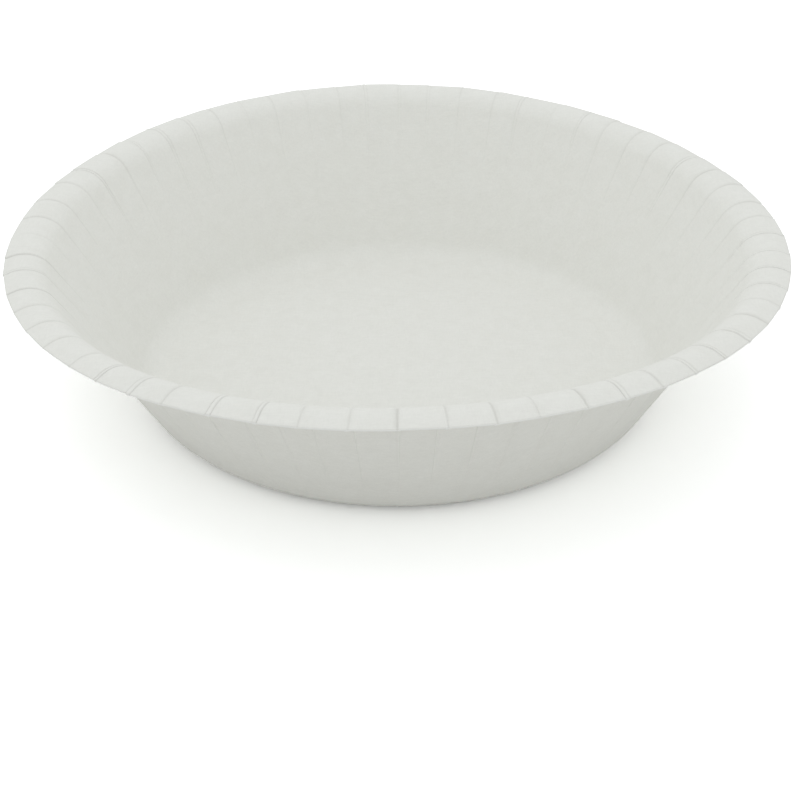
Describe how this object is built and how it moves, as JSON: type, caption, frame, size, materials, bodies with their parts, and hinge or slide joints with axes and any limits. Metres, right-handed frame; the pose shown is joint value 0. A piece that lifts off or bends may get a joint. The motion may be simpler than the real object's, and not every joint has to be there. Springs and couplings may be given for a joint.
{
  "type": "paper bowl",
  "caption": "Round disposable paper bowl with a flat floor, a sloping pleated wall and a narrow drooping brim, pressed from white paperboard.",
  "frame": {"origin": "middle of the underside of the floor, on the surface that the bowl stands on", "axes": "+Z along the axis of the bowl, up and out of its mouth; a pleat lies on +X"},
  "size_m": [0.1904, 0.1904, 0.042],
  "materials": {
    "paperboard": "matte uncoated white paperboard"
  },
  "bodies": {
    "root": {"bowl": "paperboard"}
  },
  "joints": []
}
